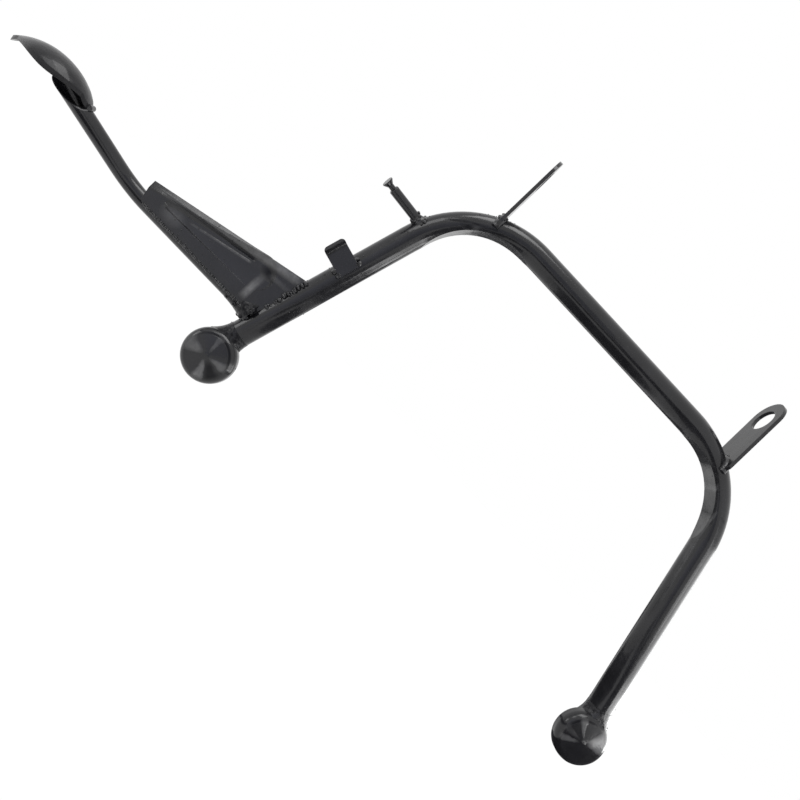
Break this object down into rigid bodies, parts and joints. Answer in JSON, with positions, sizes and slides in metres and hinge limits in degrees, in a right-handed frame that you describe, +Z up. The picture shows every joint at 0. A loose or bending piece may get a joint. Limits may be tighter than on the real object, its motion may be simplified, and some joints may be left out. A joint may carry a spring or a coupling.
{
  "type": "motorcycle centre stand",
  "caption": "Welded tubular centre stand with pivot lugs, cupped feet, a spring pin and a tread lever braced by a pressed gusset.",
  "frame": {"origin": "on the pivot axis, half way between the two pivot lugs", "axes": "+X along the pivot axis to the right of the motorcycle, +Y forward, +Z up, in the pose that holds the motorcycle up"},
  "size_m": [0.7171, 0.0763, 0.3381],
  "materials": {
    "black_paint": "gloss",
    "painted_weld": "semi-gloss"
  },
  "bodies": {
    "root": {"main_tube": "black_paint", "left_pivot_lug": "black_paint", "right_pivot_lug": "black_paint", "left_foot_cup": "black_paint", "right_foot_cup": "black_paint", "lever_tube": "black_paint", "tread_pad": "black_paint", "gusset_plate": "black_paint", "spring_pin": "black_paint", "stop_strap": "black_paint", "weld_left_lug": "painted_weld", "weld_right_lug": "painted_weld", "weld_left_foot": "painted_weld", "weld_right_foot": "painted_weld", "weld_lever_leg": "painted_weld", "weld_gusset_leg": "painted_weld", "weld_gusset_lever": "painted_weld", "weld_tread_pad": "painted_weld", "weld_spring_pin": "painted_weld", "weld_stop_upper": "painted_weld", "weld_stop_lower": "painted_weld"}
  },
  "joints": []
}
